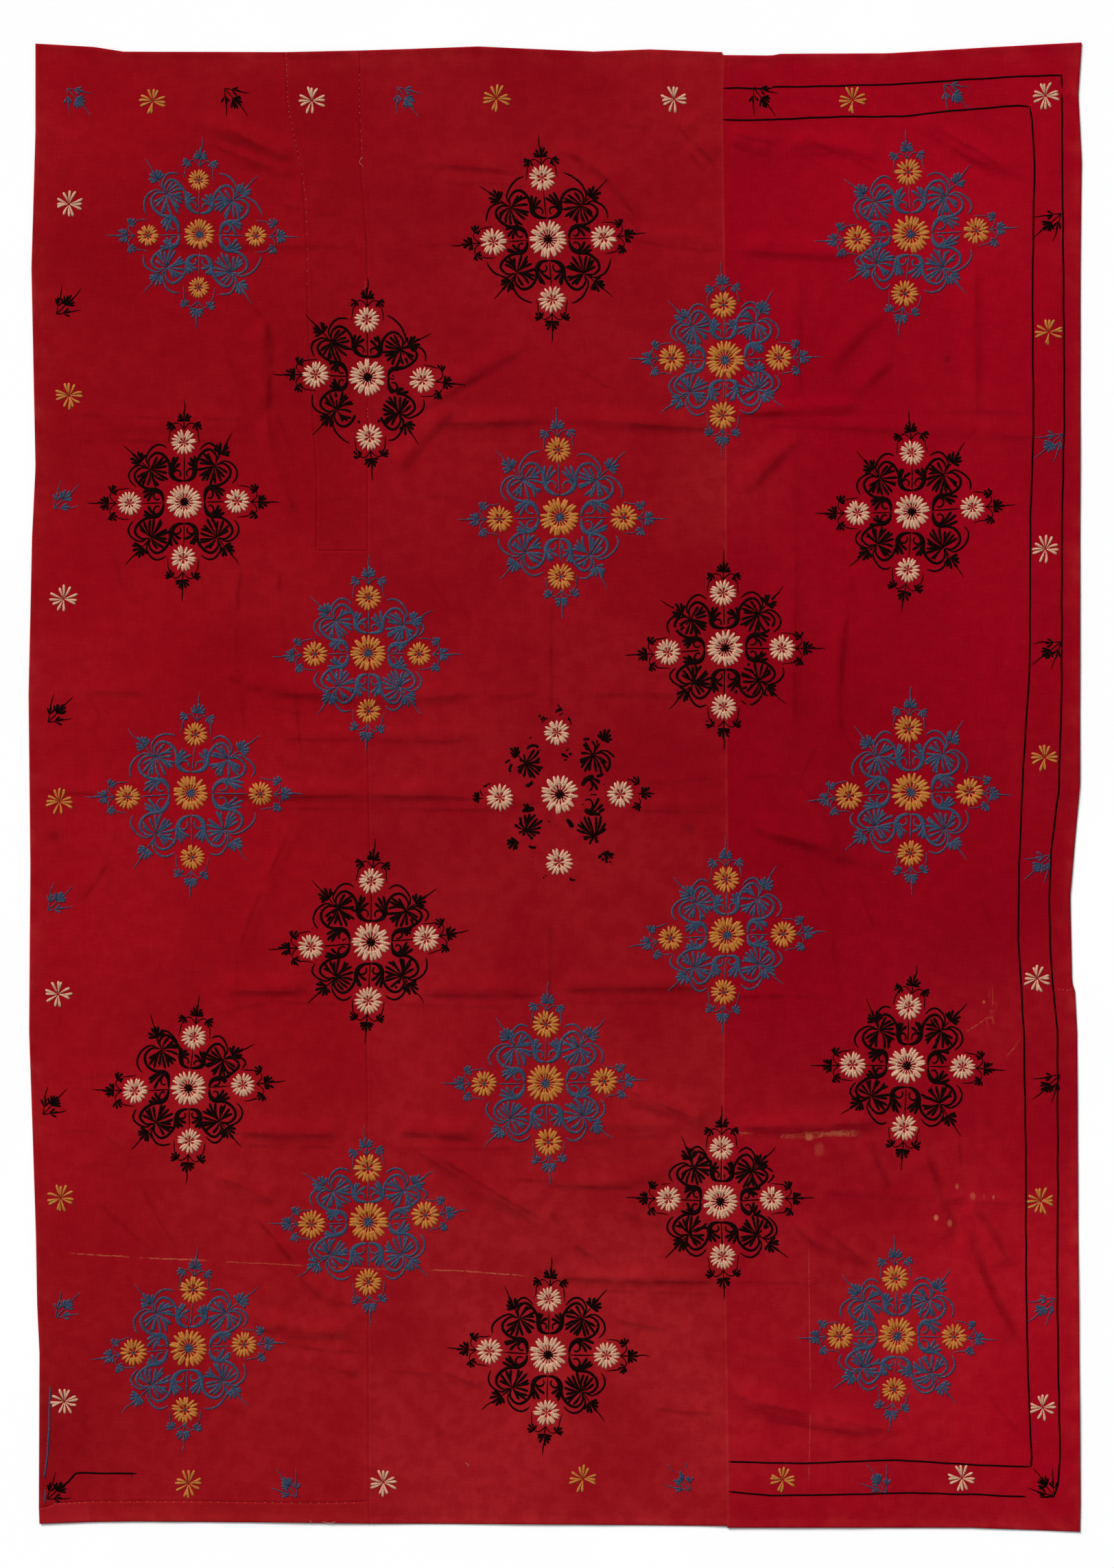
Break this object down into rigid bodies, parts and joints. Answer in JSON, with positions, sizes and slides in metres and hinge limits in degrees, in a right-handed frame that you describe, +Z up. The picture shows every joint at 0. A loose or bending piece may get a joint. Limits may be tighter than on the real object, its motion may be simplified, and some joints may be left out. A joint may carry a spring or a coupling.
{
  "type": "suzani",
  "caption": "Large rectangular embroidered cotton cloth of joined panels, laid flat and face up, with storage creases and small drawn folds.",
  "frame": {"origin": "middle of the cloth's underside, on the surface that it lies on", "axes": "+X to the right of the cloth's face, +Y to its top edge, +Z up out of its face"},
  "size_m": [1.8416, 2.6036, 0.0101],
  "materials": {
    "cotton_left": "plain-woven madder red cotton, soft and matt",
    "cotton_insert": "plain-woven red cotton, a little browner",
    "cotton_centre": "plain-woven madder red cotton, soft and matt",
    "cotton_right": "plain-woven deep red cotton, smooth and matt",
    "cotton_strip": "coarser red cotton with a visible weave",
    "cotton_patch": "lighter red cotton, matt",
    "thread_blue": "indigo blue chain-stitched thread",
    "thread_black": "brown-black chain-stitched thread",
    "thread_yellow": "ochre yellow thread, slightly glossy",
    "thread_cream": "cream thread, slightly glossy",
    "thread_sewing": "pale sewing thread"
  },
  "bodies": {
    "root": {"panel_left": "cotton_left", "insert_upper_left": "cotton_insert", "panel_centre": "cotton_centre", "panel_right": "cotton_right", "strip_bottom_left": "cotton_strip", "patch_corner": "cotton_patch"}
  },
  "joints": []
}
